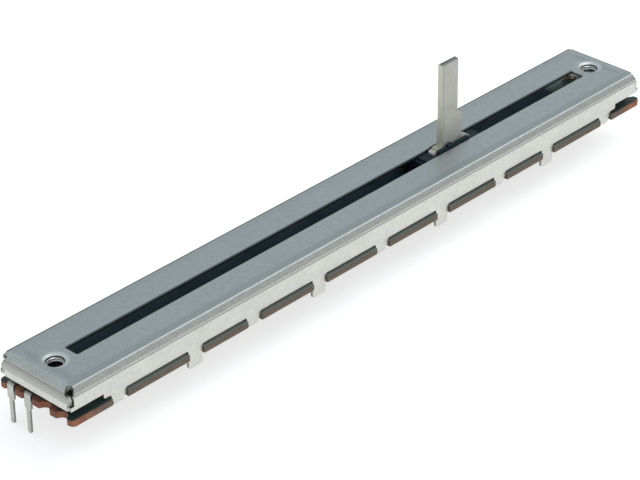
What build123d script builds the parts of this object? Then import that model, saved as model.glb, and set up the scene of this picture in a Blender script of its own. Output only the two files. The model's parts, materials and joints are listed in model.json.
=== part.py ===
from build123d import *
from math import atan2, pi, tan
import os

# Slide potentiometer with 100 mm of travel, in millimetres.
# X runs along the body, from the end with two terminals to the end with one.
# Z = 0 is the mounting face, the upper side of the cover, and the body hangs below it.

# Travel, and what follows from it
travel = 100.0
hole_margin = 10.0
cover_end_margin = 3.9
lever_travel_share = 0.241

# Cover, pressed from one sheet of steel
sheet = 0.5
cover_width = 14.9
bevel_width = 0.6
bevel_height = 1.05
ridge_radius = 0.4
inner_ridge_radius = 0.1
skirt_depth = 4.35
end_skirt_depth = 3.5
end_flap_depth = 3.75
end_skirt_run = 6.1
ledge_fillet = 0.3
relief_hole_radius = 0.6
relief_hole_depth = 1.25
relief_hole_inset_x = 0.4
relief_hole_inset_y = 0.7
end_flap_margin = 0.81
ear_margin = 0.3
ear_root_depth = 1.1
ear_top_depth = 1.95
ear_bottom_depth = 2.7
ear_round = 0.15
seam_gap = 0.16

# Slot and mounting holes
slot_width = 2.5
slot_end_clearance = 0.6
slot_corner_radius = 0.2
slot_edge_chamfer = 0.1
thread_minor_radius = 1.25
collar_wall = 0.75
collar_length = 1.8
mouth_chamfer_width = 0.15
mouth_chamfer_depth = 0.32
dish_radius = 2.6
dish_knee_radius = 1.9
dish_knee_depth = 0.07
dish_depth = 0.28

# Tabs along both long sides, alternately crimped under the board and left straight
tab_width = 2.75
outer_tab_inset = 8.9
crimp_tab_shares = (0.0, 0.51, 1.0)
long_tab_shares = (0.255, 0.727)
long_tab_depth = 7.55
tab_root_fillet = 0.35
tab_tip_fillet = 0.4
crimp_inner_radius = 0.1
crimp_lip_length = 0.9
crimp_lip_width = 1.9
crimp_taper_height = 0.6

# Element board
board_gap = 0.47
board_end_overhang = 0.2
board_side_overhang = 0.38
board_thickness = 1.05
board_corner_radius = 0.8
tab_notch_clearance = 0.1
outer_row_margin = 1.49
terminal_notch_width = 2.0
terminal_notch_depth = 1.0
lug_corner_radius = 0.35

# Printed tracks and pads on the board
film = 0.05
track_width = 2.0
track_overrun = 6.0
pad_width = 2.6
pad_end_margin = 1.4

# Terminals and the eyelets that hold them
terminal_thickness = 0.3
terminal_width = 1.4
pin_width = 0.75
shoulder_depth = 7.0
shoulder_taper = 0.3
pin_depth = 11.3
terminal_bend_radius = 0.5
terminal_inset = 0.1
terminal_root_run = 3.9
eyelet_inset = 2.8
eyelet_radius = 0.55
eyelet_bore_radius = 0.3
eyelet_head_radius = 0.9
eyelet_head_height = 0.2

# Carriage and lever
lever_thickness = 1.2
blade_thickness = 1.0
blade_width = 3.65
blade_offset = -0.45
blade_height = 15.1
blade_crown_radius = 0.35
neck_width = 4.6
neck_height = 5.1
step_width = 7.0
step_height = 0.6
foot_width = 8.6
foot_height = 0.35
foot_corner_radius = 0.4
foot_depth = 2.2
carriage_length = 14.0
carriage_side_clearance = 0.3
carriage_top_clearance = 0.12
carriage_thickness = 2.3
carriage_shoulder = 0.6
shoe_width = 1.4
shoe_length = 1.5
shoe_drop = 0.5
guide_length = 12.6
guide_side_clearance = 0.15
guide_height = -0.3
hub_length = 7.2
hub_height = 0.42
hub_nub_offset = -0.9
hub_nub_length = 1.0
hub_nub_height = 0.35

# Springs on the carriage
leaf_thickness = 0.15
leaf_length = 11.0
leaf_width = 1.6
leaf_y = 3.6
leaf_recess_depth = 0.45
leaf_contact_clearance = 0.05
leaf_seat_clearance = 0.02
leaf_end_clearance = 0.4
wiper_thickness = 0.15
wiper_shoe_clearance = 0.3
wiper_plate_length = 5.0
wiper_finger_width = 0.45
wiper_finger_gap = 0.25
wiper_finger_count = 3
wiper_finger_length = 5.2
wiper_bend_run = 0.4
wiper_tip_run = 0.6
wiper_contact_radius = 0.35
wiper_contact_clearance = 0.05
stake_spacing = 2.6
stake_radius = 0.5
stake_head_radius = 0.8
stake_head_height = 0.3

# Places worked out from the sizes above
mounting_pitch = travel + 2 * hole_margin
cover_length = mounting_pitch + 2 * cover_end_margin
half_length = cover_length / 2
half_width = cover_width / 2
inner_half_width = half_width - sheet
board_length = cover_length + 2 * board_end_overhang
board_width = cover_width + 2 * board_side_overhang
board_top = -(skirt_depth + board_gap)
board_bottom = board_top - board_thickness
film_top = board_top + film
slot_length = travel + guide_length + 2 * slot_end_clearance
tab_reach = half_length - outer_tab_inset
crimp_tab_places = [share * tab_reach for share in crimp_tab_shares]
long_tab_places = [share * tab_reach for share in long_tab_shares]
tab_notch_width = tab_width + 2 * tab_notch_clearance
tab_notch_floor = inner_half_width - crimp_inner_radius
resistive_track_y = inner_half_width - outer_row_margin
collector_track_y = resistive_track_y / 3
terminal_rows = (-resistive_track_y, -collector_track_y, collector_track_y, resistive_track_y)
lever_position = lever_travel_share * travel
wiper_y = (resistive_track_y + collector_track_y) / 2
wiper_plate_x = shoe_length + wiper_shoe_clearance + (wiper_plate_length - carriage_length) / 2
carriage_top = -(sheet + carriage_top_clearance)
carriage_bottom = carriage_top - carriage_thickness


def mirrored(places):
    """Each place and its mirror image, with the middle one once."""
    return sorted({side * place for place in places for side in (-1, 1)})


def pan(bottom, inset, radius):
    """Block with upright sides, steep bevels and a flat face, like the folded cover moved in by the inset."""
    bevel_angle = atan2(bevel_height, bevel_width)
    crease = -bevel_height - inset * tan(pi / 4 - bevel_angle / 2)
    face_margin = bevel_width + inset * tan(bevel_angle / 2)
    length = cover_length - 2 * inset
    width = cover_width - 2 * inset
    depth = -inset - bottom
    block = Pos(0, 0, -inset) * Box(length, width, depth, align=(Align.CENTER, Align.CENTER, Align.MAX))
    face = block.faces().sort_by(Axis.Z)[-1]
    block = chamfer(face.edges(), face_margin - inset, -inset - crease, reference=face)
    level = block.edges().filter_by(Axis.X) + block.edges().filter_by(Axis.Y)
    ridges = [edge for edge in level if edge.center().Z > crease - 0.01]
    return fillet(ridges, radius)


def skirt_outline():
    """Lower part of a long side wall, seen from the side, with its tabs."""
    lap = 1.0
    run = 2 * (half_length - end_skirt_run)
    outline = Pos(0, -end_skirt_depth + lap) * Rectangle(
        run, skirt_depth - end_skirt_depth + lap, align=(Align.CENTER, Align.MAX)
    )
    long_tab = Rectangle(tab_width, long_tab_depth - skirt_depth + lap, align=(Align.CENTER, Align.MAX))
    crimp_root = -board_bottom - crimp_inner_radius
    straight = crimp_root - crimp_taper_height
    crimp_tab = Polygon(
        (-tab_width / 2, -skirt_depth + lap),
        (-tab_width / 2, -straight),
        (-crimp_lip_width / 2, -crimp_root),
        (crimp_lip_width / 2, -crimp_root),
        (tab_width / 2, -straight),
        (tab_width / 2, -skirt_depth + lap),
        align=None,
    )
    for place in mirrored(long_tab_places):
        outline += Pos(place, -skirt_depth + lap) * long_tab
    for place in mirrored(crimp_tab_places):
        outline += Pos(place, 0) * crimp_tab
    roots = [v for v in outline.vertices() if abs(v.Y + skirt_depth) < 0.01 and abs(v.X) < run / 2 - 0.01]
    outline = fillet(roots, tab_root_fillet)
    ledges = [v for v in outline.vertices() if abs(abs(v.X) - run / 2) < 0.01 and v.Y < -end_skirt_depth - 0.01]
    outline = fillet(ledges, ledge_fillet)
    tips = [v for v in outline.vertices() if abs(v.Y + long_tab_depth) < 0.01]
    return fillet(tips, tab_tip_fillet)


def crimp_lip():
    """The part of a crimped tab that is folded under the board, at the +Y side."""
    centre_y = tab_notch_floor
    centre_z = board_bottom + crimp_inner_radius
    outer_radius = crimp_inner_radius + sheet
    bend = Circle(outer_radius) - Circle(crimp_inner_radius)
    bend &= Rectangle(outer_radius, outer_radius, align=(Align.MIN, Align.MAX))
    lip = Pos(0, -crimp_inner_radius) * Rectangle(crimp_lip_length, sheet, align=(Align.MAX, Align.MAX))
    section = Pos(centre_y, centre_z) * (bend + lip)
    return extrude(Plane.YZ * section, crimp_lip_width / 2, both=True)


def side_wall():
    """Skirt with tabs at the +Y side."""
    wall = extrude(Plane.XZ * skirt_outline(), -sheet)
    wall = Pos(0, inner_half_width, 0) * wall
    for place in mirrored(crimp_tab_places):
        wall += Pos(place, 0, 0) * crimp_lip()
    return wall


def corner_seam():
    """Open seam at the +X +Y corner, round the ear of the end flap that laps over the side wall."""
    hole_x = half_length - relief_hole_inset_x
    hole_y = half_width - relief_hole_inset_y
    hole = Pos(hole_x, hole_y, 0) * Cylinder(relief_hole_radius, 2 * relief_hole_depth)
    flap_edge = half_width - end_flap_margin
    ear_edge = half_width - ear_margin
    lap = 1.0
    seam_floor = -ear_bottom_depth - seam_gap
    beside_flap = Polygon(
        (flap_edge, -ear_root_depth),
        (ear_edge, -ear_top_depth),
        (ear_edge, -ear_bottom_depth),
        (flap_edge, -ear_bottom_depth),
        (flap_edge, -skirt_depth),
        (flap_edge + seam_gap, -skirt_depth),
        (flap_edge + seam_gap, seam_floor),
        (half_width + lap, seam_floor),
        (half_width + lap, 0),
        (hole_y, 0),
        (hole_y, -ear_root_depth),
        align=None,
    )
    ear_tips = [v for v in beside_flap.vertices() if abs(v.X - ear_edge) < 0.01]
    beside_flap = fillet(ear_tips, ear_round)
    behind_ear = Pos(inner_half_width, 0) * Rectangle(sheet + lap, -seam_floor, align=(Align.MIN, Align.MAX))
    inner_end = half_length - sheet
    hole += Pos(inner_end, 0, 0) * extrude(Plane.YZ * beside_flap, sheet + lap)
    return hole + Pos(inner_end - seam_gap, 0, 0) * extrude(Plane.YZ * behind_ear, seam_gap)


def threaded_collar():
    """Collar drawn down round a mounting hole."""
    outer = thread_minor_radius + collar_wall
    return Cylinder(outer, collar_length, align=(Align.CENTER, Align.CENTER, Align.MAX))


def collar_bore():
    """What is open in a mounting hole: a shallow dish that steepens to the mouth, and the bore."""
    lap = 1.0
    bore_bottom = -sheet - collar_length - lap
    profile = Polygon(
        (0, lap),
        (dish_radius, lap),
        (dish_radius, 0),
        (dish_knee_radius, -dish_knee_depth),
        (thread_minor_radius + mouth_chamfer_width, -dish_depth),
        (thread_minor_radius, -dish_depth - mouth_chamfer_depth),
        (thread_minor_radius, bore_bottom),
        (0, bore_bottom),
        align=None,
    )
    return revolve(Plane.XZ * profile, Axis.Z)


def make_cover():
    """The folded steel cover that carries everything."""
    lap = 1.0
    shell = pan(-end_skirt_depth, 0, ridge_radius)
    shell -= pan(-end_skirt_depth - lap, sheet, inner_ridge_radius)
    end_lip = Box(sheet, cover_width - 2 * end_flap_margin, lap, align=(Align.CENTER, Align.CENTER, Align.MIN))
    for place in mirrored((half_length - sheet / 2,)):
        shell += Pos(place, 0, -end_flap_depth) * end_lip
    for place in mirrored((mounting_pitch / 2,)):
        shell += Pos(place, 0, -sheet / 2) * threaded_collar()
    wall = side_wall()
    shell += wall
    shell += mirror(wall, Plane.XZ)
    slot = Box(slot_length, slot_width, 4 * sheet)
    slot = fillet(slot.edges().filter_by(Axis.Z), slot_corner_radius)
    shell -= slot
    rim = [e for e in shell.edges() if abs(e.center().Z) < 0.01 and e.bounding_box().size.Y < slot_width + 0.1
           and abs(e.center().Y) < slot_width]
    shell = chamfer(rim, slot_edge_chamfer)
    for place in mirrored((mounting_pitch / 2,)):
        shell -= Pos(place, 0, 0) * collar_bore()
    seam = corner_seam()
    for cut in (seam, mirror(seam, Plane.XZ)):
        shell -= cut
        shell -= mirror(cut, Plane.YZ)
    return shell


def board_outline():
    """Board seen from above, with notches for the cover's tabs and for terminals at both ends."""
    outline = RectangleRounded(board_length, board_width, board_corner_radius)
    notch_reach = board_width / 2 - tab_notch_floor
    for side in (-1, 1):
        for place in mirrored(long_tab_places + crimp_tab_places):
            outline -= Pos(place, side * (tab_notch_floor + notch_reach / 2)) * Rectangle(
                tab_notch_width, notch_reach + 0.01
            )
    notch_radius = terminal_notch_width / 2
    for side in (-1, 1):
        for row in terminal_rows:
            slot = SlotOverall(2 * terminal_notch_depth + terminal_notch_width, terminal_notch_width)
            outline -= Pos(side * (board_length / 2 + notch_radius), row) * slot
    tips = [v for v in outline.vertices() if abs(abs(v.X) - board_length / 2) < 0.01
            and abs(v.Y) < terminal_rows[-1] + notch_radius + 0.1]
    return fillet(tips, lug_corner_radius)


def eyelet_places():
    """Where the three terminals are fixed, as (side, row) pairs in the order of their numbers."""
    return ((-1, terminal_rows[3]), (-1, terminal_rows[2]), (1, terminal_rows[3]))


def eyelet_x(side):
    return side * (board_length / 2 - eyelet_inset)


def make_board():
    board = Pos(0, 0, board_bottom) * extrude(board_outline(), board_thickness)
    for side, row in eyelet_places():
        board -= Pos(eyelet_x(side), row, board_bottom) * Cylinder(eyelet_radius, 3 * board_thickness)
    return board


def film_strip(x_from, x_to, middle, width):
    """Printed strip on top of the board."""
    strip = Box(x_to - x_from, width, film, align=(Align.MIN, Align.CENTER, Align.MIN))
    return Pos(x_from, middle, board_top) * strip


def make_resistive_track():
    reach = travel / 2 + track_overrun
    return film_strip(-reach, reach, resistive_track_y, track_width)


def make_collector_track():
    reach = travel / 2 + track_overrun
    return film_strip(-reach, reach, collector_track_y, track_width)


def make_pad(side, row):
    """Conductor pad between a track and the eyelet of its terminal."""
    inner = travel / 2 + track_overrun
    outer = board_length / 2 - pad_end_margin
    strip = film_strip(inner, outer, row, pad_width)
    if side < 0:
        strip = mirror(strip, Plane.YZ)
    return strip - Pos(eyelet_x(side), row, board_bottom) * Cylinder(eyelet_radius, 4 * board_thickness)


def make_terminal(side, row):
    """Flat terminal: a root on the board, a bend over its end and a pin with a shoulder."""
    outer = board_length / 2 - terminal_inset
    root_top = film_top + terminal_thickness
    strip = Pos(outer, root_top) * Rectangle(
        terminal_root_run, root_top + pin_depth, align=(Align.MAX, Align.MAX)
    )
    inside = Pos(outer - terminal_thickness, film_top) * Rectangle(
        terminal_root_run, root_top + pin_depth, align=(Align.MAX, Align.MAX)
    )
    knee = [v for v in strip.vertices() if v.X > outer - 0.01 and v.Y > root_top - 0.01]
    strip = fillet(knee, terminal_bend_radius)
    knee = [v for v in inside.vertices() if v.X > outer - terminal_thickness - 0.01 and v.Y > film_top - 0.01]
    strip -= fillet(knee, terminal_bend_radius - terminal_thickness)
    folded = extrude(Plane.XZ * strip, terminal_width / 2, both=True)
    lap = 1.0
    half = terminal_width / 2
    pin = pin_width / 2
    front = Polygon(
        (-half, root_top + lap),
        (-half, -shoulder_depth),
        (-pin, -shoulder_depth - shoulder_taper),
        (-pin, -pin_depth),
        (pin, -pin_depth),
        (pin, -shoulder_depth - shoulder_taper),
        (half, -shoulder_depth),
        (half, root_top + lap),
        align=None,
    )
    tips = [v for v in front.vertices() if v.Y < -pin_depth + 0.01]
    front = fillet(tips, 0.45 * pin_width)
    folded &= extrude(Plane.YZ * front, outer + 1)
    root_end = [e for e in folded.edges().filter_by(Axis.Z) if e.center().X < outer - terminal_root_run + 0.01]
    folded = fillet(root_end, 0.45 * terminal_width)
    folded -= Pos(eyelet_x(1), 0, film_top) * Cylinder(eyelet_radius, 4 * terminal_thickness)
    if side < 0:
        folded = mirror(folded, Plane.YZ)
    return Pos(0, row, 0) * folded


def make_eyelet(side, row):
    """Hollow rivet through a terminal and the board, flared under the board."""
    top = film_top + terminal_thickness
    shank = top - board_bottom
    profile = Polygon(
        (eyelet_bore_radius, top + eyelet_head_height),
        (eyelet_head_radius - eyelet_head_height, top + eyelet_head_height),
        (eyelet_head_radius, top),
        (eyelet_radius, top),
        (eyelet_radius, top - shank),
        (eyelet_head_radius, top - shank),
        (eyelet_head_radius - eyelet_head_height, top - shank - eyelet_head_height),
        (eyelet_bore_radius, top - shank - eyelet_head_height),
        align=None,
    )
    eyelet = revolve(Plane.XZ * profile, Axis.Z)
    return Pos(eyelet_x(side), row, 0) * eyelet


def lever_outline():
    """Lever seen from the side: blade, neck and the foot that the carriage grips."""
    blade = Pos(blade_offset, 0) * Rectangle(blade_width, blade_height, align=(Align.CENTER, Align.MIN))
    neck = Rectangle(neck_width, neck_height, align=(Align.CENTER, Align.MIN))
    step = Rectangle(step_width, step_height, align=(Align.CENTER, Align.MIN))
    foot = Pos(0, foot_height) * Rectangle(
        foot_width, foot_height + foot_depth, align=(Align.CENTER, Align.MAX)
    )
    foot = fillet(foot.vertices().group_by(Axis.Y)[-1], foot_corner_radius)
    return neck + step + foot, blade


def make_lever():
    lower, blade = lever_outline()
    lever = extrude(Plane.XZ * lower, lever_thickness / 2, both=True)
    blade = extrude(Plane.XZ * blade, blade_thickness / 2, both=True)
    blade = fillet(blade.edges().filter_by(Axis.X).group_by(Axis.Z)[-1], blade_crown_radius)
    lever += blade
    return Pos(lever_position, 0, 0) * lever


def grip_pocket():
    """Space for the lever's foot, open above."""
    return Pos(0, 0, -foot_depth) * Box(
        foot_width, lever_thickness, 2 * foot_depth, align=(Align.CENTER, Align.CENTER, Align.MIN)
    )


def upright(length, width, bottom, top):
    """Block between two heights, centred on the slot."""
    return Pos(0, 0, bottom) * Box(length, width, top - bottom, align=(Align.CENTER, Align.CENTER, Align.MIN))


def stake_places():
    """Where the carriage's two stakes pass through the plate of the wiper."""
    return [(wiper_plate_x + side * stake_spacing / 2, wiper_y) for side in (-1, 1)]


def make_carriage():
    """Moulded slider with shoes at its sides, a guide in the slot and a grip round the lever's foot."""
    width = 2 * (inner_half_width - carriage_side_clearance)
    body = upright(carriage_length, width, carriage_bottom, carriage_top)
    shoulders = body.edges().filter_by(Axis.X).group_by(Axis.Z)[-1]
    body = chamfer(shoulders, carriage_shoulder)
    for side in (-1, 1):
        for end in (-1, 1):
            shoe = upright(shoe_length, shoe_width, carriage_bottom - shoe_drop, carriage_bottom)
            body += Pos(end * (carriage_length - shoe_length) / 2, side * (width - shoe_width) / 2, 0) * shoe
    guide_width = slot_width - 2 * guide_side_clearance
    body += upright(guide_length, guide_width, carriage_top, guide_height)
    body += upright(hub_length, guide_width, carriage_top, hub_height)
    body += Pos(hub_nub_offset, 0, 0) * upright(
        hub_nub_length, guide_width, hub_height, hub_height + hub_nub_height
    )
    for side in (-1, 1):
        recess = upright(leaf_length + leaf_end_clearance, leaf_width + leaf_end_clearance,
                         carriage_top - leaf_recess_depth, carriage_top)
        body -= Pos(0, side * leaf_y, 0) * recess
    body -= grip_pocket()
    plate_bottom = carriage_bottom - wiper_thickness
    for x, y in stake_places():
        body += Pos(x, y, plate_bottom) * Cylinder(
            stake_radius, wiper_thickness, align=(Align.CENTER, Align.CENTER, Align.MIN)
        )
        body += Pos(x, y, plate_bottom) * Cone(
            stake_head_radius - stake_head_height / 2, stake_head_radius, stake_head_height,
            align=(Align.CENTER, Align.CENTER, Align.MAX)
        )
    return Pos(lever_position, 0, 0) * body


def strip_along(path, width, thickness):
    """Sheet-metal strip of one width along a path."""
    start = Plane(origin=path @ 0, x_dir=(0, 1, 0), z_dir=path % 0)
    return sweep(start * Rectangle(width, thickness), path)


def make_leaf_spring(side):
    """Arched strip that presses the carriage away from the cover."""
    floor = carriage_top - leaf_recess_depth + leaf_thickness / 2 + leaf_seat_clearance
    crest = -(sheet + leaf_contact_clearance) - leaf_thickness / 2
    path = ThreePointArc((-leaf_length / 2, 0, floor), (0, 0, crest), (leaf_length / 2, 0, floor))
    return Pos(lever_position, side * leaf_y, 0) * strip_along(path, leaf_width, leaf_thickness)


def wiper_finger(row):
    """One finger of the wiper: a slope down to the track and a curled tip."""
    start_x = wiper_plate_x + wiper_plate_length / 2
    plate_z = carriage_bottom - wiper_thickness / 2
    contact_z = film_top + wiper_contact_clearance + wiper_thickness / 2
    path = FilletPolyline(
        (start_x - wiper_thickness, 0, plate_z),
        (start_x + wiper_bend_run, 0, plate_z),
        (start_x + wiper_finger_length, 0, contact_z),
        (start_x + wiper_finger_length + wiper_tip_run, 0, contact_z + wiper_tip_run),
        radius=wiper_contact_radius,
    )
    return Pos(0, row, 0) * strip_along(path, wiper_finger_width, wiper_thickness)


def make_wiper():
    """Brush that joins the resistive track to the collector track."""
    reach = wiper_finger_count * wiper_finger_width + (wiper_finger_count - 1) * wiper_finger_gap
    width = resistive_track_y - collector_track_y + reach
    plate = Pos(wiper_plate_x, wiper_y, 0) * upright(
        wiper_plate_length, width, carriage_bottom - wiper_thickness, carriage_bottom
    )
    for x, y in stake_places():
        plate -= Pos(x, y, carriage_bottom) * Cylinder(stake_radius, 4 * wiper_thickness)
    middle = (wiper_finger_count - 1) / 2
    for track in (resistive_track_y, collector_track_y):
        for index in range(wiper_finger_count):
            plate += wiper_finger(track + (index - middle) * (wiper_finger_width + wiper_finger_gap))
    return Pos(lever_position, 0, 0) * plate


def write(node, shape):
    export_step(shape, f"parts/{node}.step")


def main():
    os.makedirs("parts", exist_ok=True)
    write("cover", make_cover())
    write("element_board", make_board())
    write("resistive_track", make_resistive_track())
    write("collector_track", make_collector_track())
    for number, (side, row) in enumerate(eyelet_places(), start=1):
        write(f"conductor_pad_{number}", make_pad(side, row))
        write(f"terminal_{number}", make_terminal(side, row))
        write(f"eyelet_{number}", make_eyelet(side, row))
    write("carriage", make_carriage())
    write("lever", make_lever())
    write("wiper", make_wiper())
    write("leaf_spring_left", make_leaf_spring(1))
    write("leaf_spring_right", make_leaf_spring(-1))


main()
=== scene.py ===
import json
import math

import bpy
from mathutils import Matrix, Vector


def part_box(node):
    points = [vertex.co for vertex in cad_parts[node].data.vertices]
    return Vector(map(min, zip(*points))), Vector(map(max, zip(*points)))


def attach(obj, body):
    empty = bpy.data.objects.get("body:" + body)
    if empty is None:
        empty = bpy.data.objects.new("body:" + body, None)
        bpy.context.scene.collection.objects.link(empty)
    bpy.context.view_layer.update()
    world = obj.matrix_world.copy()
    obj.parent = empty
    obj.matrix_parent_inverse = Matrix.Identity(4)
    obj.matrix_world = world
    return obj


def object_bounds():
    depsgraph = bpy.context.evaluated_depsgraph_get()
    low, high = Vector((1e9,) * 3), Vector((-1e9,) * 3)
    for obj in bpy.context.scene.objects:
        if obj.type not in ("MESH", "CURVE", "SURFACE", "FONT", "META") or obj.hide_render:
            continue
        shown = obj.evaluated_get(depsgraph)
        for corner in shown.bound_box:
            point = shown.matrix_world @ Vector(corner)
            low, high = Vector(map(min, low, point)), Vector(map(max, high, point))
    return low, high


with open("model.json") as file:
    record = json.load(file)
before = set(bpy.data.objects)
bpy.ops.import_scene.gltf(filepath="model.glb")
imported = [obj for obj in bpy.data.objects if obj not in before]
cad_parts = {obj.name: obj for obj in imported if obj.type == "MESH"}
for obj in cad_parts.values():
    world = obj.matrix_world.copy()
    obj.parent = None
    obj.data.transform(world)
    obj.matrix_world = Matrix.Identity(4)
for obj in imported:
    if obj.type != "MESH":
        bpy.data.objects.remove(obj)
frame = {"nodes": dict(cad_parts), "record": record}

# Slide potentiometer. Sizes are in millimetres where a name ends in _mm, else in metres.
MM = 0.001

cad_low, cad_high = [Vector(corner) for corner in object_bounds()]
cover_high = Vector(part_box("cover")[1])
board_high = Vector(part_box("element_board")[1])
mounts = {mount["name"]: mount for mount in frame["record"]["mounts"]}
half_length_mm = cover_high.x / MM
half_width_mm = cover_high.y / MM
board_top_mm = board_high.z / MM
slot_half_width_mm = 1.25
hole_place_mm = mounts["hole_far"]["pos_m"][0] / MM
blade_width_mm = 3.65
blade_side_mm = mounts["lever_blade"]["pos_m"][0] / MM - blade_width_mm / 2
blade_top_mm = mounts["lever_blade"]["pos_m"][2] / MM
neck_top_mm = 5.1
pin_rows_mm = [mounts["terminal_end_" + number]["pos_m"][1] / MM for number in ("1", "2")]

# Camera, found from the hole spacing, the slot, the tabs and the ends in a picture of 640 by 480
picture_width = 640
focal_length_px = 2650.9
sensor_width_mm = 36.0
camera_azimuth = math.radians(-46.246)
camera_elevation = math.radians(31.163)
camera_roll = math.radians(-0.727)
camera_distance = 0.408683
camera_offset = (-0.003962, -0.006229)
camera_near_limit = 0.01
pixel_centre = 0.5


def make_camera():
    """Camera with the picture's place, lens and roll."""
    cosine = math.cos(camera_elevation)
    back = Vector((
        math.sin(camera_azimuth) * cosine,
        -math.cos(camera_azimuth) * cosine,
        math.sin(camera_elevation),
    ))
    level = Vector((math.cos(camera_azimuth), math.sin(camera_azimuth), 0))
    upright = back.cross(level)
    right = math.cos(camera_roll) * level + math.sin(camera_roll) * upright
    up = math.cos(camera_roll) * upright - math.sin(camera_roll) * level
    data = bpy.data.cameras.new("camera")
    data.sensor_width = sensor_width_mm
    data.lens = focal_length_px / picture_width * sensor_width_mm
    data.shift_x = -pixel_centre / picture_width
    data.shift_y = pixel_centre / picture_width
    data.clip_start = camera_near_limit
    camera = bpy.data.objects.new("camera", data)
    camera.matrix_world = Matrix((right, up, back)).transposed().to_4x4()
    camera.location = back * camera_distance + right * camera_offset[0] + up * camera_offset[1]
    bpy.context.collection.objects.link(camera)
    bpy.context.scene.camera = camera


# Helpers for node trees

def add(tree, kind, **settings):
    """New node with some of its settings."""
    node = tree.nodes.new(kind)
    for name, value in settings.items():
        setattr(node, name, value)
    return node


def feed(tree, socket, value):
    """Links an output to the socket, or sets the socket's own value."""
    if isinstance(value, bpy.types.NodeSocket):
        tree.links.new(value, socket)
    else:
        socket.default_value = value


def maths(tree, operation, first, second=0.0, third=0.0):
    node = add(tree, "ShaderNodeMath", operation=operation)
    for socket, value in zip(node.inputs, (first, second, third)):
        feed(tree, socket, value)
    return node.outputs[0]


def both(tree, first, second):
    """Product of two shares."""
    return maths(tree, "MULTIPLY", first, second)


def sum_of(tree, value, factor, more):
    """The value times the factor, plus more."""
    return maths(tree, "MULTIPLY_ADD", value, factor, more)


def away(tree, value, middle=0.0):
    """Distance of the value from the middle."""
    return maths(tree, "ABSOLUTE", maths(tree, "SUBTRACT", value, middle))


def distance(tree, first, second):
    """Length of the two offsets together."""
    return maths(tree, "SQRT", sum_of(tree, second, second, both(tree, first, first)))


def stretched(tree, place, factors):
    node = add(tree, "ShaderNodeVectorMath", operation="MULTIPLY")
    feed(tree, node.inputs[0], place)
    feed(tree, node.inputs[1], factors)
    return node.outputs[0]


def step(tree, value, start, full, least=0.0, most=1.0):
    """Smooth from the least at the start to the most at full. The start may be the larger."""
    node = add(tree, "ShaderNodeMapRange", interpolation_type="SMOOTHSTEP", clamp=True)
    feed(tree, node.inputs["Value"], value)
    ends = sorted([(start, least), (full, most)])
    for label, (at, result) in zip(("Min", "Max"), ends):
        node.inputs["From " + label].default_value = at
        node.inputs["To " + label].default_value = result
    return node.outputs[0]


def tint(tree, share, first, second):
    """Colour between two others."""
    node = add(tree, "ShaderNodeMix", data_type="RGBA", clamp_factor=True)
    for number, value in ((0, share), (6, first), (7, second)):
        feed(tree, node.inputs[number], value)
    return node.outputs[2]


def noise(tree, place, scale, detail=3.0, rough=0.5):
    node = add(tree, "ShaderNodeTexNoise")
    feed(tree, node.inputs["Vector"], place)
    feed(tree, node.inputs["Scale"], scale)
    node.inputs["Detail"].default_value = detail
    node.inputs["Roughness"].default_value = rough
    return node.outputs["Fac"]


def object_place(tree):
    """The point on the piece, and its three coordinates in millimetres by name."""
    place = add(tree, "ShaderNodeTexCoord").outputs["Object"]
    sized = stretched(tree, place, (1 / MM, 1 / MM, 1 / MM))
    split = add(tree, "ShaderNodeSeparateXYZ")
    feed(tree, split.inputs[0], sized)
    return sized, dict(zip("xyz", split.outputs))


def srgb(red, green, blue):
    """Linear colour with full alpha from display values of 0 to 255."""
    def linear(value):
        value /= 255
        return value / 12.92 if value <= 0.04045 else ((value + 0.055) / 1.055) ** 2.4
    return (linear(red), linear(green), linear(blue), 1.0)


def share_of(tree, spot, rules, strength=1.0):
    """Product of rules, each the name of a share, or a measure with the values of step."""
    share = None
    for rule in rules:
        found = spot[rule] if isinstance(rule, str) else step(tree, spot[rule[0]], *rule[1:])
        share = found if share is None else both(tree, share, found)
    return share if strength == 1.0 else both(tree, share, strength)


def coated(tree, colour, spot, tones, coats):
    """The colour under coats, each with the name of its tone, its strength and its rules."""
    for name, strength, *rules in coats:
        colour = tint(tree, share_of(tree, spot, rules, strength), colour, tones[name])
    return colour


# Effects that several materials share

def new_group(name, inputs, outputs):
    """Empty node group with its sockets, and its input and output nodes."""
    group = bpy.data.node_groups.new(name, "ShaderNodeTree")
    for label, kind, value in inputs:
        socket = group.interface.new_socket(label, in_out="INPUT", socket_type=kind)
        socket.default_value = value
    for label, kind in outputs:
        group.interface.new_socket(label, in_out="OUTPUT", socket_type=kind)
    return group, group.nodes.new("NodeGroupInput"), group.nodes.new("NodeGroupOutput")


def sheet_grain_group():
    """Grain of rolled and plated metal: lines along one direction, soft stains and small pits."""
    group, given, result = new_group(
        "sheet grain",
        [
            ("Stretch", "NodeSocketVector", (0.05, 1.0, 1.0)),
            ("Line Scale", "NodeSocketFloat", 9.0),
            ("Stain Scale", "NodeSocketFloat", 0.25),
        ],
        [("Lines", "NodeSocketFloat"), ("Stains", "NodeSocketFloat"), ("Pits", "NodeSocketFloat")],
    )
    place = object_place(group)[0]
    drawn = stretched(group, place, given.outputs["Stretch"])
    lines = noise(group, drawn, given.outputs["Line Scale"], 4.0, 0.65)
    stains = noise(group, place, given.outputs["Stain Scale"], 5.0, 0.6)
    pits = step(group, noise(group, place, 6.0, 2.0), 0.62, 0.78)
    for label, value in (("Lines", lines), ("Stains", stains), ("Pits", pits)):
        feed(group, result.inputs[label], value)
    return group


def grain_marks(tree, grain, stretch, line_scale, stain_scale):
    """Outputs of the sheet grain, by name."""
    node = add(tree, "ShaderNodeGroup", node_tree=grain)
    feed(tree, node.inputs["Stretch"], stretch)
    feed(tree, node.inputs["Line Scale"], line_scale)
    feed(tree, node.inputs["Stain Scale"], stain_scale)
    return node.outputs


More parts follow.
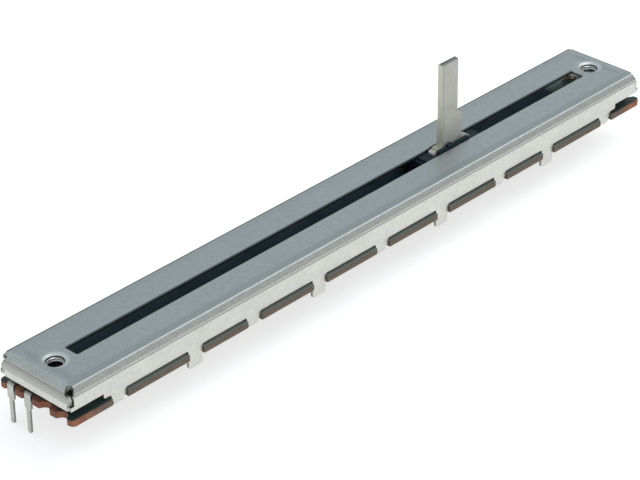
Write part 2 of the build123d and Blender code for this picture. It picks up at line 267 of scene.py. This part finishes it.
def new_material(name, metallic=0.0):
    """Material with a plain shader, its tree and that shader."""
    material = bpy.data.materials.new(name)
    material.use_nodes = True
    tree = material.node_tree
    shader = tree.nodes["Principled BSDF"]
    shader.inputs["Metallic"].default_value = metallic
    return material, tree, shader


def raised(tree, height, distance_mm, strength, under=None):
    """Normal from a height."""
    node = add(tree, "ShaderNodeBump")
    node.inputs["Strength"].default_value = strength
    node.inputs["Distance"].default_value = distance_mm * MM
    feed(tree, node.inputs["Height"], height)
    if under is not None:
        feed(tree, node.inputs["Normal"], under)
    return node.outputs[0]


# Materials

metal_share = 0.9

# Cover: heights of the painted highlight and painted shade lines along the folds, their lift at the
# ends, and places near the ends
ridge_height_mm = -1.02
crease_height_mm = -1.3
end_crease_height_mm = -1.04
end_lift_mm = 0.27
end_dip_inset_mm = 2.4
corner_hole_inset_mm = 0.45
corner_hole_side_mm = 6.75

cover_tones = {
    "face": srgb(199, 203, 206),
    "wall": srgb(222, 219, 212),
    "fold in a dark line": srgb(189, 187, 184),
    "fold in a light line": srgb(206, 201, 193),
    # Painted light: the fold is lighter at the ends
    "fold at an end": srgb(214, 214, 210),
    # Painted highlight on the lower ridge of the fold
    "ridge": srgb(224, 223, 217),
    # Painted shade in the crease below the fold's lower ridge
    "crease": srgb(134, 133, 126),
    # Painted shade where the face dips, stronger on the -Y side
    "dip": srgb(160, 168, 168),
    # Painted highlight along the top rim of each end
    "end ridge": srgb(228, 230, 229),
    # Painted reflection on the end walls: darker at the top, lighter lower down
    "upper end wall": srgb(152, 152, 147),
    "lower end wall": srgb(182, 180, 175),
    # Painted shade in the crease of the fold at each end
    "end crease": srgb(112, 110, 102),
    # Painted shade on the rims of the far side and the far end
    "far rim": srgb(98, 104, 100),
    "cut side": srgb(112, 112, 104),
    "stain": srgb(160, 164, 160),
    "line": srgb(150, 155, 158),
    "mottle": srgb(168, 178, 172),
    "speckle": srgb(138, 136, 130),
    # Painted shade on the +Y cut edge of the slot
    "slot edge": srgb(52, 66, 74),
    # Painted highlight on the dish around each hole
    "dish": srgb(240, 241, 240),
    "mouth": srgb(44, 50, 56),
    # Painted highlight on the upper bore and painted shade in the lower bore
    "upper bore": srgb(238, 239, 240),
    "near lower bore": srgb(20, 24, 30),
    "far lower bore": srgb(150, 152, 150),
    # Painted shade in and around the corner relief holes
    "corner hole": srgb(100, 108, 98),
}

# Coats of the cover in their order: tone, strength and rules. A rule is the name of a share, or a
# measure with where it starts and is full, and with its least and its most if not 0 and 1.
cover_coats = [
    ("fold", 1.0, "fold"),
    # Painted highlight on the lower ridge of the fold
    ("ridge", 0.8, ("from ridge", 0.16, 0.0)),
    # Painted shade in the crease below the fold's lower ridge
    ("crease", 0.85, "crease"),
    # Painted shade where the face dips near its long sides and ends, stronger on the -Y side
    ("dip", 1.0, "dip", ("z", -0.08, -0.02), ("y", 5.0, 4.0, 0.15, 0.45)),
    # Painted highlight along the top rim of each end
    ("end ridge", 0.7, ("from end", 1.5, 0.7), ("z", -0.4, -0.2)),
    # Painted reflection on the end walls: darker at the top, lighter lower down
    ("end wall", 1.0, ("from end", 0.12, 0.03), ("z", -2.75, -2.5), ("z", -1.05, -1.3)),
    # Painted shade in the crease of the fold at each end
    ("end crease", 0.75, "at end", ("from end crease", 0.15, 0.0)),
    # Painted shade on the rims of the far side and the far end
    ("far rim", 0.8, "far rim"),
    (
        "cut side", 0.75,
        ("from side", 0.02, 0.08), ("from side", 0.48, 0.42), ("z", -1.9, -2.1), ("z", -7.7, -7.6),
    ),
    ("stain", 0.13, ("stains", 0.35, 0.7)),
    ("line", 0.1, ("lines", 0.3, 0.75)),
    ("mottle", 1.0, ("mottle", 0.35, 0.7), ("z", -0.3, -0.1, 0.16, 0.36)),
    ("speckle", 1.0, "speckle"),
    # Painted shade on the +Y cut edge of the slot
    (
        "slot edge", 0.9,
        ("past slot", 0.3, 0.08), ("past slot", -0.35, -0.15), ("past hole", -3.0, -3.15),
    ),
    # Painted highlight on the dish around each hole
    ("dish", 1.0, ("from hole", 2.5, 1.6), ("z", -0.01, -0.05), ("shine", -1.2, 1.4, 0.1, 0.8)),
    ("mouth", 1.0, ("from hole", 1.48, 1.42), ("z", -0.1, -0.2)),
    # Painted highlight on the upper bore and painted shade in the lower bore
    ("bore", 1.0, ("from hole", 1.36, 1.3), ("z", -0.42, -0.5)),
    # Painted shade in and around the corner relief holes, stronger on the -Y side
    (
        "corner hole", 1.0,
        ("from corner hole", 0.78, 0.58), ("z", -1.5, -1.1), ("y", 1.0, -1.0, 0.3, 0.9),
    ),
]


def cover_measures(tree, place, spot, marks):
    """Adds to the coordinates what the coats of the cover are measured by."""
    x, y, z = spot["x"], spot["y"], spot["z"]
    spot["lines"] = marks["Lines"]
    spot["stains"] = marks["Stains"]
    spot["mottle"] = noise(tree, place, 1.1, 4.0, 0.6)
    away_x = away(tree, x)
    away_y = away(tree, y)

    # Distances from the ends, the sides, the far edge of the slot and the holes
    spot["from end"] = maths(tree, "SUBTRACT", half_length_mm, away_x)
    spot["from side"] = maths(tree, "SUBTRACT", half_width_mm, away_y)
    spot["past slot"] = maths(tree, "SUBTRACT", y, slot_half_width_mm)
    spot["past hole"] = maths(tree, "SUBTRACT", away_x, hole_place_mm)
    spot["from hole"] = distance(tree, spot["past hole"], y)
    # Side of each hole's dish that takes the painted highlight
    outward = both(tree, spot["past hole"], maths(tree, "SIGN", x))
    spot["shine"] = sum_of(tree, spot["lines"], 0.6, sum_of(tree, y, -0.4, outward))
    past_x = maths(tree, "SUBTRACT", away_x, half_length_mm - corner_hole_inset_mm)
    past_y = maths(tree, "SUBTRACT", away_y, corner_hole_side_mm)
    spot["from corner hole"] = distance(tree, past_x, past_y)

    # Painted highlight and painted shade lines along the folds
    at_end = step(tree, spot["from end"], 0.8, 0.6)
    height = sum_of(tree, at_end, -end_lift_mm, z)
    spot["at end"] = at_end
    spot["from ridge"] = away(tree, height, ridge_height_mm)
    spot["crease"] = step(tree, away(tree, height, crease_height_mm), 0.16, 0.0)
    spot["from end crease"] = away(tree, z, end_crease_height_mm)
    spot["fold"] = both(tree, step(tree, z, -0.08, -0.2), step(tree, z, -1.5, -1.36))

    # Painted shade where the face dips along its long sides and across its ends
    dip_x = step(tree, away(tree, spot["from end"], end_dip_inset_mm), 1.0, 0.0)
    spot["dip"] = maths(tree, "MAXIMUM", dip_x, step(tree, away_y, 5.1, 5.7))

    # Painted shade on the rims of the far side and the far end, seen edge on
    rim_x = step(tree, x, half_length_mm - 1.03, half_length_mm - 0.85)
    rim = maths(tree, "MAXIMUM", step(tree, y, 6.42, 6.6), rim_x)
    spot["far rim"] = both(tree, rim, step(tree, z, -0.3, -0.15))

    # Fine speckle, strongest on the folds
    specks = step(tree, noise(tree, place, 3.4, 3.0, 0.7), 0.38, 0.62)
    speck_share = sum_of(tree, spot["fold"], 0.2, step(tree, z, -0.3, -0.1, 0.12, 0.17))
    spot["speckle"] = both(tree, specks, speck_share)


def cover_steel(grain):
    """Bright plated sheet steel, with painted highlight and painted shade lines along the folds,
    painted shade on the far rims, the slot's far edge and the corner holes, a painted highlight
    around the tapped holes, a darker ring at their mouths and painted highlight and painted shade
    in their bores, and darker at the cut edges.
    """
    material, tree, shader = new_material("cover steel", metal_share)
    place, spot = object_place(tree)
    marks = grain_marks(tree, grain, (0.06, 1.0, 1.0), line_scale=7.0, stain_scale=0.12)
    cover_measures(tree, place, spot, marks)

    tones = dict(cover_tones)
    lined = step(tree, spot["lines"], 0.35, 0.65)
    fold = tint(tree, lined, tones["fold in a dark line"], tones["fold in a light line"])
    # Painted light: the fold is lighter at the ends
    tones["fold"] = tint(tree, both(tree, spot["at end"], 0.75), fold, tones["fold at an end"])
    # Painted reflection on the end walls: darker at the top, lighter lower down
    lower = step(tree, spot["z"], -1.1, -2.3)
    tones["end wall"] = tint(tree, lower, tones["upper end wall"], tones["lower end wall"])
    # Painted highlight on the upper bore and painted shade in the lower bore, near black in the
    # near hole
    at_far_hole = step(tree, spot["x"], -1.0, 1.0)
    painted_bore_shade = tint(tree, at_far_hole, tones["near lower bore"], tones["far lower bore"])
    tones["bore"] = tint(tree, step(tree, spot["z"], -0.85, -1.05), tones["upper bore"], painted_bore_shade)

    colour = tint(tree, step(tree, spot["z"], -1.36, -1.5), tones["face"], tones["wall"])
    feed(tree, shader.inputs["Base Color"], coated(tree, colour, spot, tones, cover_coats))
    uneven = sum_of(tree, spot["lines"], 0.12, 0.32)
    uneven = sum_of(tree, spot["stains"], 0.08, uneven)
    uneven = sum_of(tree, spot["far rim"], 0.5, uneven)
    feed(tree, shader.inputs["Roughness"], uneven)
    normal = raised(tree, spot["lines"], distance_mm=0.01, strength=0.25)
    normal = raised(tree, marks["Pits"], distance_mm=-0.01, strength=0.2, under=normal)
    normal = raised(tree, spot["crease"], distance_mm=-0.05, strength=0.6, under=normal)
    feed(tree, shader.inputs["Normal"], normal)
    return material


board_tones = {
    "dark layer": srgb(94, 84, 71),
    "light layer": srgb(130, 114, 97),
    "light red": srgb(198, 122, 82),
    "dark red": srgb(166, 86, 64),
    "fibre": srgb(74, 62, 52),
    # Painted light: the sawn edge is lighter towards its bottom
    "lower edge": srgb(176, 150, 130),
    # Painted shadow of the cover's skirt along the top of the sawn edge
    "upper edge": srgb(78, 76, 68),
    "dark coat": srgb(26, 48, 46),
    "light dark coat": srgb(40, 64, 58),
    # Painted light: a paler copy of the coat for the middle, where the cover shades it
    "pale coat": srgb(108, 116, 111),
    "light pale coat": srgb(126, 132, 124),
}

# Coats of the sawn edge, with rules like those of the cover
board_coats = [
    ("red", 1.0, ("away x", 57.0, half_length_mm, 0.05, 0.72)),
    ("fibre", 0.5, ("fibres", 0.45, 0.65)),
    # Painted light: the sawn edge is lighter towards its bottom
    ("lower edge", 0.12, ("depth", 0.7, 1.0)),
    # Painted shadow of the cover's skirt along the top of the sawn edge, only under the cover
    ("upper edge", 0.5, ("depth", 0.5, 0.1), ("away x", 62.0, 56.0)),
]


def board_laminate():
    """Brown paper laminate, redder at its ends, under a green coat that is worn at the near end;
    the coat has painted light under the cover, and the sawn edge has a painted shadow of the cover
    above and painted light towards its bottom.
    """
    material, tree, shader = new_material("board laminate")
    place, spot = object_place(tree)
    layers = noise(tree, stretched(tree, place, (0.4, 0.4, 7.0)), 2.2, 4.0, 0.6)
    fibres = noise(tree, place, 5.0, 5.0, 0.65)
    blotches = noise(tree, place, 0.6)
    depth = maths(tree, "SUBTRACT", board_top_mm, spot["z"])
    away_x = away(tree, spot["x"])
    spot["fibres"] = fibres
    spot["depth"] = depth
    spot["away x"] = away_x
    spot["away y"] = away(tree, spot["y"])

    tones = dict(board_tones)
    blotched = step(tree, blotches, 0.35, 0.65)
    tones["red"] = tint(tree, blotched, tones["light red"], tones["dark red"])
    brown = tint(tree, step(tree, layers, 0.3, 0.7), tones["dark layer"], tones["light layer"])
    brown = coated(tree, brown, spot, tones, board_coats)

    grainy = step(tree, fibres, 0.3, 0.7)
    dark_coat = tint(tree, grainy, tones["dark coat"], tones["light dark coat"])
    # Painted light: the coat is paler under the cover, where it lies in shade
    painted_light_coat = tint(tree, grainy, tones["pale coat"], tones["light pale coat"])
    coat = tint(tree, step(tree, away_x, 57.5, 55.5), dark_coat, painted_light_coat)

    # Where the coat lies: on top with a ragged edge, thin along the rim and worn off the near lugs
    spot["ragged depth"] = sum_of(tree, fibres, -0.12, depth)
    spot["ragged x"] = sum_of(tree, blotches, 1.6, spot["x"])
    spot["ragged y"] = sum_of(tree, fibres, 0.8, spot["y"])
    rim = share_of(tree, spot, [("away y", 7.5, 7.7), ("away x", 55.5, 57.5)], 0.8)
    worn = share_of(tree, spot, [
        ("ragged x", -62.0, -62.8),
        ("ragged y", -5.4, -4.6),
        ("y", 6.7, 6.3),
        ("fibres", 0.4, 0.6, 0.5, 1.0),
    ])
    kept = step(tree, spot["ragged depth"], 0.02, -0.03)
    for lost in (rim, worn):
        kept = both(tree, kept, maths(tree, "SUBTRACT", 1.0, lost))
    feed(tree, shader.inputs["Base Color"], tint(tree, kept, brown, coat))
    feed(tree, shader.inputs["Roughness"], sum_of(tree, kept, -0.4, 0.78))
    rough_edge = both(tree, fibres, maths(tree, "SUBTRACT", 1.0, kept))
    normal = raised(tree, rough_edge, distance_mm=0.12, strength=0.7)
    normal = raised(tree, layers, distance_mm=0.05, strength=0.5, under=normal)
    feed(tree, shader.inputs["Normal"], normal)
    return material


def printed_film(name, first, second, roughness, metallic=0.0):
    """Printed film with a little unevenness."""
    material, tree, shader = new_material(name, metallic)
    place = object_place(tree)[0]
    feed(tree, shader.inputs["Base Color"], tint(tree, noise(tree, place, 3.0, 4.0), first, second))
    shader.inputs["Roughness"].default_value = roughness
    normal = raised(tree, noise(tree, place, 14.0), distance_mm=0.01, strength=0.3)
    feed(tree, shader.inputs["Normal"], normal)
    return material


def moulded_plastic():
    """Black acetal with a faint mould texture."""
    material, tree, shader = new_material("moulded plastic")
    place = object_place(tree)[0]
    colour = tint(tree, noise(tree, place, 1.5, 4.0), srgb(8, 24, 34), srgb(18, 40, 52))
    feed(tree, shader.inputs["Base Color"], colour)
    shader.inputs["Specular IOR Level"].default_value = 0.3
    feed(tree, shader.inputs["Roughness"], sum_of(tree, noise(tree, place, 4.0), 0.2, 0.42))
    normal = raised(tree, noise(tree, place, 18.0), distance_mm=0.01, strength=0.4)
    feed(tree, shader.inputs["Normal"], normal)
    return material


def satin_metal(name, grain, stretch, light, dark, roughness, stain=None, tones_and_painted_light=None):
    """Plated metal with blanking lines and stains."""
    material, tree, shader = new_material(name, metal_share)
    marks = grain_marks(tree, grain, stretch, line_scale=6.0, stain_scale=0.5)
    colour = tint(tree, step(tree, marks["Lines"], 0.3, 0.75), light, dark)
    colour = tint(tree, step(tree, marks["Stains"], 0.45, 0.75, 0.0, 0.35), colour, stain or dark)
    # Extra tones: painted light and shade on the lever, darker sides on the pins
    if tones_and_painted_light:
        colour = tones_and_painted_light(tree, colour)
    feed(tree, shader.inputs["Base Color"], colour)
    feed(tree, shader.inputs["Roughness"], sum_of(tree, marks["Lines"], 0.15, roughness))
    normal = raised(tree, marks["Lines"], distance_mm=0.02, strength=0.35)
    normal = raised(tree, marks["Pits"], distance_mm=-0.01, strength=0.3, under=normal)
    feed(tree, shader.inputs["Normal"], normal)
    return material


lever_corner_inset_mm = 0.16

lever_tones = {
    # Painted shade line along the corner of the blade's -X side
    "corner": srgb(132, 130, 118),
    # Painted light on the blade's -X side
    "side": srgb(208, 205, 189),
    # Painted light on the ledge at the top of the neck
    "ledge": srgb(210, 207, 197),
    "crown": srgb(112, 116, 114),
    # Painted highlight on the foot
    "foot": srgb(226, 218, 212),
}
lever_coats = [
    # Painted shade line along the corner of the blade's -X side
    ("corner", 1.0, ("from corner", 0.12, 0.0)),
    # Painted light on the blade's -X side
    ("side", 1.0, ("from side", 0.06, 0.02)),
    # Painted light on the ledge at the top of the neck
    ("ledge", 1.0, ("from ledge", 0.07, 0.0)),
    ("crown", 0.85, ("from top", 0.17, 0.12)),
    # Painted highlight on the foot
    ("foot", 1.0, ("z", 0.5, 0.2)),
]


def lever_painted_light_and_shade(tree, colour):
    """Painted light on the sheared side with a painted shade line at its corner, painted light on
    the ledge at the top of the neck, a darker band along the top, and a painted highlight on the
    foot.
    """
    spot = object_place(tree)[1]
    spot["from side"] = maths(tree, "SUBTRACT", spot["x"], blade_side_mm)
    spot["from corner"] = away(tree, spot["from side"], lever_corner_inset_mm)
    spot["from ledge"] = away(tree, spot["z"], neck_top_mm)
    spot["from top"] = maths(tree, "SUBTRACT", blade_top_mm, spot["z"])
    return coated(tree, colour, spot, lever_tones, lever_coats)


sheared_side = srgb(104, 106, 100)
sheared_share = 0.7


def terminal_dark_sides(tree, colour):
    """Darker sheared sides of the pins and of their shoulders."""
    spot = object_place(tree)[1]
    row_middle = sum(pin_rows_mm) / 2
    row_reach = abs(pin_rows_mm[0] - pin_rows_mm[1]) / 2
    from_row = away(tree, away(tree, spot["y"], row_middle), row_reach)
    pin_side = both(tree, step(tree, from_row, 0.24, 0.33), step(tree, spot["z"], -7.2, -7.35))
    sides = maths(tree, "MAXIMUM", pin_side, step(tree, from_row, 0.58, 0.66))
    return tint(tree, both(tree, sides, sheared_share), colour, sheared_side)


def finish_nodes():
    """Gives each node of the model its material, by the slot that the record names."""
    grain = sheet_grain_group()
    made = {
        "cover_steel": cover_steel(grain),
        "board_laminate": board_laminate(),
        "carbon_ink": printed_film(
            "carbon ink", srgb(80, 112, 130), srgb(92, 124, 144), roughness=0.5,
        ),
        "silver_ink": printed_film(
            "silver ink", srgb(144, 166, 166), srgb(164, 184, 181), roughness=0.45, metallic=0.4,
        ),
        "terminal_metal": satin_metal(
            "terminal metal", grain, stretch=(1.0, 1.0, 0.08), roughness=0.3,
            light=srgb(202, 202, 195), dark=srgb(174, 174, 166), stain=srgb(150, 150, 140),
            tones_and_painted_light=terminal_dark_sides,
        ),
        "eyelet_metal": satin_metal(
            "eyelet metal", grain, stretch=(1.0, 1.0, 1.0), roughness=0.3,
            light=srgb(226, 200, 164), dark=srgb(190, 160, 124),
        ),
        "slider_plastic": moulded_plastic(),
        "lever_steel": satin_metal(
            "lever steel", grain, stretch=(1.0, 1.0, 0.06), roughness=0.42,
            light=srgb(190, 188, 180), dark=srgb(172, 170, 161), stain=srgb(160, 158, 148),
            tones_and_painted_light=lever_painted_light_and_shade,
        ),
        "spring_metal": satin_metal(
            "spring metal", grain, stretch=(0.1, 1.0, 1.0), roughness=0.28,
            light=srgb(200, 160, 110), dark=srgb(160, 120, 76),
        ),
    }
    slots = {part["node"]: part["material_slot"] for part in frame["record"]["subparts"]}
    for name, piece in frame["nodes"].items():
        for holder in piece.material_slots:
            holder.material = made[slots[name]]
    return made


# Threads of the two mounting holes

thread_pitch_mm = 0.5
thread_ridge_mm = 0.13
thread_length_share = 0.9
thread_turn_points = 40
thread_ridge_sides = 6


def thread_tree():
    """Geometry nodes: a helical ridge in each hole of a row."""
    tree = bpy.data.node_groups.new("screw threads", "GeometryNodeTree")
    lengths = ("Hole Radius", "Wall Length", "Thread Pitch", "Ridge Radius", "Hole Spacing", "Top")
    for label in lengths:
        tree.interface.new_socket(label, in_out="INPUT", socket_type="NodeSocketFloat")
    tree.interface.new_socket("Material", in_out="INPUT", socket_type="NodeSocketMaterial")
    tree.interface.new_socket("Mesh", in_out="OUTPUT", socket_type="NodeSocketGeometry")
    given = tree.nodes.new("NodeGroupInput").outputs
    spiral = add(tree, "GeometryNodeCurveSpiral")
    spiral.inputs["Resolution"].default_value = thread_turn_points
    turns = maths(tree, "DIVIDE", given["Wall Length"], given["Thread Pitch"])
    feed(tree, spiral.inputs["Rotations"], turns)
    feed(tree, spiral.inputs["Start Radius"], given["Hole Radius"])
    feed(tree, spiral.inputs["End Radius"], given["Hole Radius"])
    feed(tree, spiral.inputs["Height"], given["Wall Length"])
    profile = add(tree, "GeometryNodeCurvePrimitiveCircle")
    profile.inputs["Resolution"].default_value = thread_ridge_sides
    feed(tree, profile.inputs["Radius"], given["Ridge Radius"])
    ridge = add(tree, "GeometryNodeCurveToMesh")
    feed(tree, ridge.inputs["Curve"], spiral.outputs[0])
    feed(tree, ridge.inputs["Profile Curve"], profile.outputs[0])
    ridge.inputs["Fill Caps"].default_value = True
    bottom = add(tree, "ShaderNodeCombineXYZ")
    feed(tree, bottom.inputs["Z"], maths(tree, "SUBTRACT", given["Top"], given["Wall Length"]))
    feed(tree, bottom.inputs["X"], both(tree, given["Hole Spacing"], -0.5))
    spacing = add(tree, "ShaderNodeCombineXYZ")
    feed(tree, spacing.inputs["X"], given["Hole Spacing"])
    holes = add(tree, "GeometryNodeMeshLine")
    holes.inputs["Count"].default_value = 2
    feed(tree, holes.inputs["Start Location"], bottom.outputs[0])
    feed(tree, holes.inputs["Offset"], spacing.outputs[0])
    placed = add(tree, "GeometryNodeInstanceOnPoints")
    feed(tree, placed.inputs["Points"], holes.outputs[0])
    feed(tree, placed.inputs["Instance"], ridge.outputs[0])
    real = add(tree, "GeometryNodeRealizeInstances")
    feed(tree, real.inputs[0], placed.outputs[0])
    finished = add(tree, "GeometryNodeSetMaterial")
    feed(tree, finished.inputs["Geometry"], real.outputs[0])
    feed(tree, finished.inputs["Material"], given["Material"])
    feed(tree, tree.nodes.new("NodeGroupOutput").inputs[0], finished.outputs[0])
    return tree


def grown(name, tree, values):
    """Piece made by a geometry tree with these inputs, as a plain mesh."""
    seed = bpy.data.objects.new(name + "_seed", bpy.data.meshes.new(name + "_seed"))
    bpy.context.collection.objects.link(seed)
    modifier = seed.modifiers.new("tree", "NODES")
    modifier.node_group = tree
    for item in tree.interface.items_tree:
        if item.in_out == "INPUT":
            modifier[item.identifier] = values[item.name]
    seen = seed.evaluated_get(bpy.context.evaluated_depsgraph_get())
    mesh = bpy.data.meshes.new_from_object(seen)
    mesh.name = name
    bpy.data.objects.remove(seed)
    piece = bpy.data.objects.new(name, mesh)
    bpy.context.collection.objects.link(piece)
    return piece


def make_threads(material):
    hole = mounts["hole_near"]
    wall_length = hole["dims"]["length_mm"] * MM
    thread_length = wall_length * thread_length_share
    values = {
        "Hole Radius": hole["dims"]["r_mm"] * MM,
        "Wall Length": thread_length,
        "Thread Pitch": thread_pitch_mm * MM,
        "Ridge Radius": thread_ridge_mm * MM,
        "Hole Spacing": mounts["mounting_holes"]["dims"]["spacing_x_mm"] * MM,
        "Top": hole["pos_m"][2] + thread_length / 2,
        "Material": material,
    }
    threads = grown("screw_threads", thread_tree(), values)
    for polygon in threads.data.polygons:
        polygon.use_smooth = True
    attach(threads, "case")


# Stage and light

floor_gap = 0.0004
floor_reach = 3.0
floor_base = (0.7, 0.7, 0.7, 1.0)
floor_glow = 0.6
lamp_size = 0.8


def make_stage():
    """Plain pale floor that shows near white to the eye and in metal."""
    mesh = bpy.data.meshes.new("floor")
    level = cad_low.z - floor_gap
    signs = ((-1, -1), (1, -1), (1, 1), (-1, 1))
    corners = [(side * floor_reach, end * floor_reach, level) for side, end in signs]
    mesh.from_pydata(corners, [], [(0, 1, 2, 3)])
    floor = bpy.data.objects.new("floor", mesh)
    bpy.context.collection.objects.link(floor)
    material, tree, shader = new_material("floor")
    shader.inputs["Base Color"].default_value = floor_base
    shader.inputs["Roughness"].default_value = 0.9
    shader.inputs["Specular IOR Level"].default_value = 0.0
    glow = add(tree, "ShaderNodeEmission")
    glow.inputs["Strength"].default_value = floor_glow
    path = add(tree, "ShaderNodeLightPath")
    seen = maths(tree, "MAXIMUM", path.outputs["Is Camera Ray"], path.outputs["Is Glossy Ray"])
    seen = maths(tree, "MAXIMUM", seen, path.outputs["Is Transmission Ray"])
    feed(tree, glow.inputs["Color"], seen)
    lit = add(tree, "ShaderNodeAddShader")
    feed(tree, lit.inputs[0], shader.outputs[0])
    feed(tree, lit.inputs[1], glow.outputs[0])
    feed(tree, tree.nodes["Material Output"].inputs["Surface"], lit.outputs[0])
    mesh.materials.append(material)


def lamp(name, place, power, colour=(1.0, 1.0, 1.0)):
    """Square soft lamp that faces the middle of the object."""
    data = bpy.data.lights.new(name, "AREA")
    data.size = lamp_size
    data.energy = power
    data.color = colour
    light = bpy.data.objects.new(name, data)
    light.location = place
    light.rotation_euler = Vector(place).to_track_quat("Z", "Y").to_euler()
    bpy.context.collection.objects.link(light)


def make_light():
    """Grey-blue room, one large lamp overhead to the right and one low at the front."""
    world = bpy.data.worlds.new("room")
    bpy.context.scene.world = world
    world.use_nodes = True
    room = world.node_tree.nodes["Background"]
    room.inputs["Color"].default_value = srgb(182, 193, 198)
    room.inputs["Strength"].default_value = 1.0
    lamp("overhead lamp", (0.55, -0.16, 0.75), power=2.5)
    lamp("front lamp", (-0.25, -0.9, 0.35), power=3.0, colour=(1.0, 0.98, 0.95))
    bpy.context.scene.view_settings.view_transform = "Standard"


make_camera()
materials = finish_nodes()
make_threads(materials["cover_steel"])
make_stage()
make_light()
